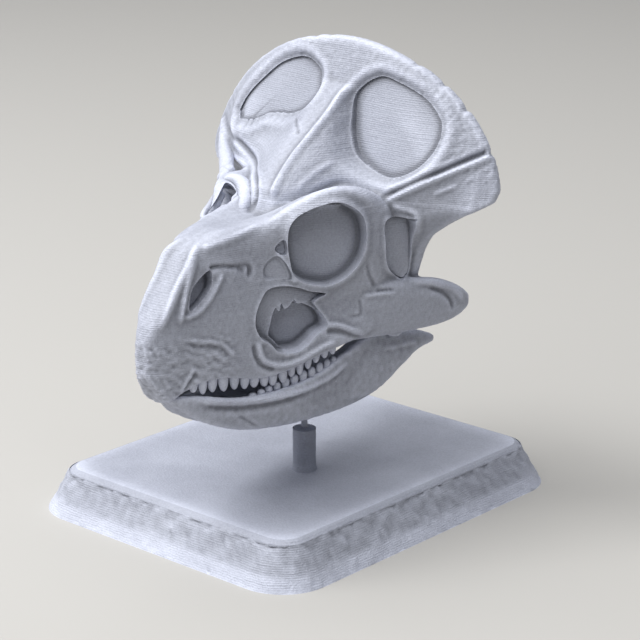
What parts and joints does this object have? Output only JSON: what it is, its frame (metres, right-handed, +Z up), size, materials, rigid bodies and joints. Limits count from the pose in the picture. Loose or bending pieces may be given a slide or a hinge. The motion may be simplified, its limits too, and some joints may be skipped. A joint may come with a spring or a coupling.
{
  "type": "printed desk model of a frilled dinosaur skull on a stand",
  "caption": "Small matte printed model of a beaked, frilled dinosaur skull, held over a rounded rectangular plinth by a short post and a thin pin.",
  "frame": {"origin": "centre of the plinth's underside", "axes": "+Z up, -Y towards the tip of the snout, +X towards the animal's left side"},
  "size_m": [0.0935, 0.1095, 0.1117],
  "materials": {
    "skull_plastic": "matte light blue-grey printed plastic with fine horizontal layer lines",
    "stand_plastic": "matte light blue-grey printed plastic, smooth top and rough sides"
  },
  "bodies": {
    "root": {"stand_base": "stand_plastic", "stand_post": "stand_plastic", "stand_pin": "stand_plastic", "snout": "skull_plastic", "face": "skull_plastic", "cheek_left": "skull_plastic", "cheek_right": "skull_plastic", "frill": "skull_plastic", "lower_jaw": "skull_plastic"}
  },
  "joints": []
}
